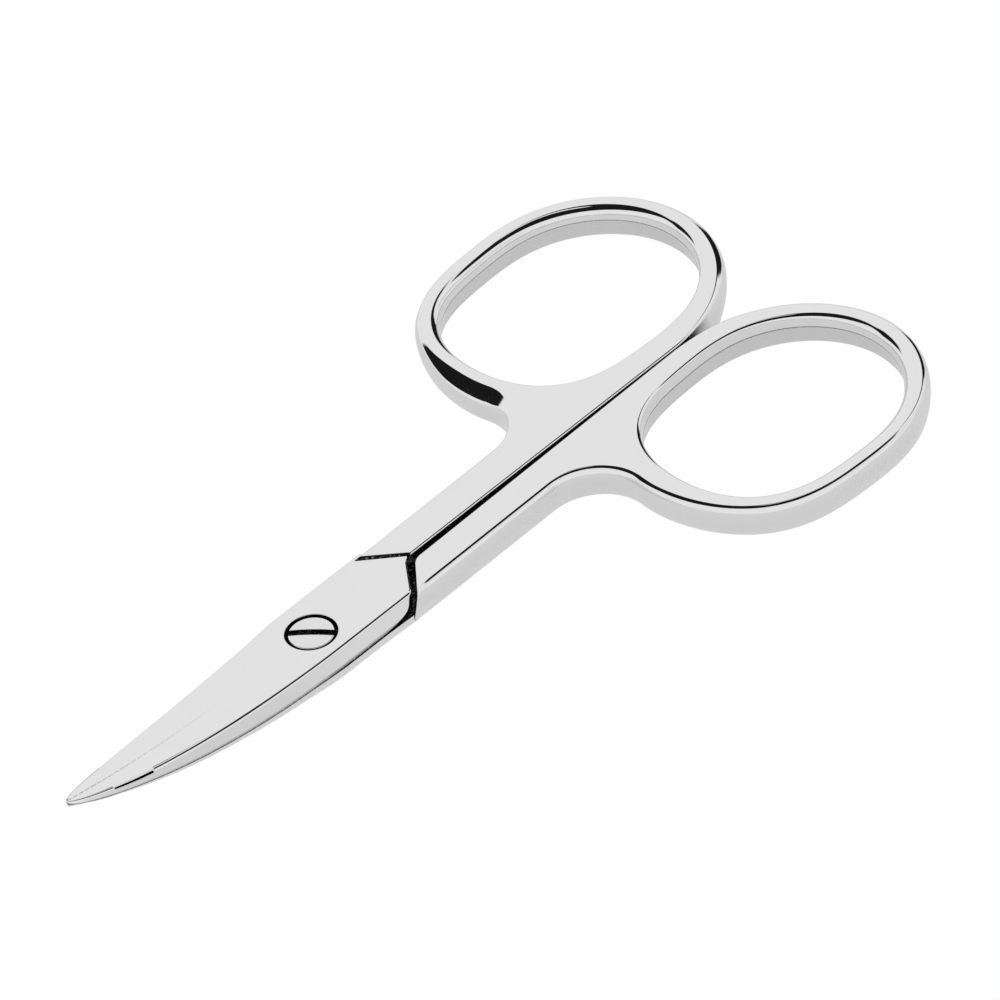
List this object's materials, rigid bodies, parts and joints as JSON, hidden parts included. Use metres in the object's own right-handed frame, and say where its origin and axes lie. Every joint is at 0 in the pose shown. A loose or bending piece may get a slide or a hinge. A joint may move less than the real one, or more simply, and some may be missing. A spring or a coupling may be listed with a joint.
{
  "type": "nail scissors",
  "caption": "Steel nail scissors with short upcurved blades, round finger rings and a slotted joint screw, closed and lying flat.",
  "frame": {"origin": "the screw's axis where it meets the surface that the closed scissors lie on", "axes": "+Z along the screw's axis and upwards, +X from the screw to the finger rings, -X to the blade tips, +Y to the upper half's ring"},
  "size_m": [0.0901, 0.049, 0.0053],
  "materials": {
    "upper_half_steel": "mirror polished stainless steel",
    "lower_half_steel": "mirror polished stainless steel",
    "screw_steel": "polished stainless steel"
  },
  "bodies": {
    "lower_body": {"lower_half": "lower_half_steel", "joint_screw": "screw_steel"},
    "upper_body": {"upper_half": "upper_half_steel"}
  },
  "joints": [
    {"name": "blade_pivot", "type": "hinge", "parent": "lower_body", "child": "upper_body", "pos_m": [0, 0, 0.0018], "axis": [0, 0, 1], "range_deg": [0, 80]}
  ]
}
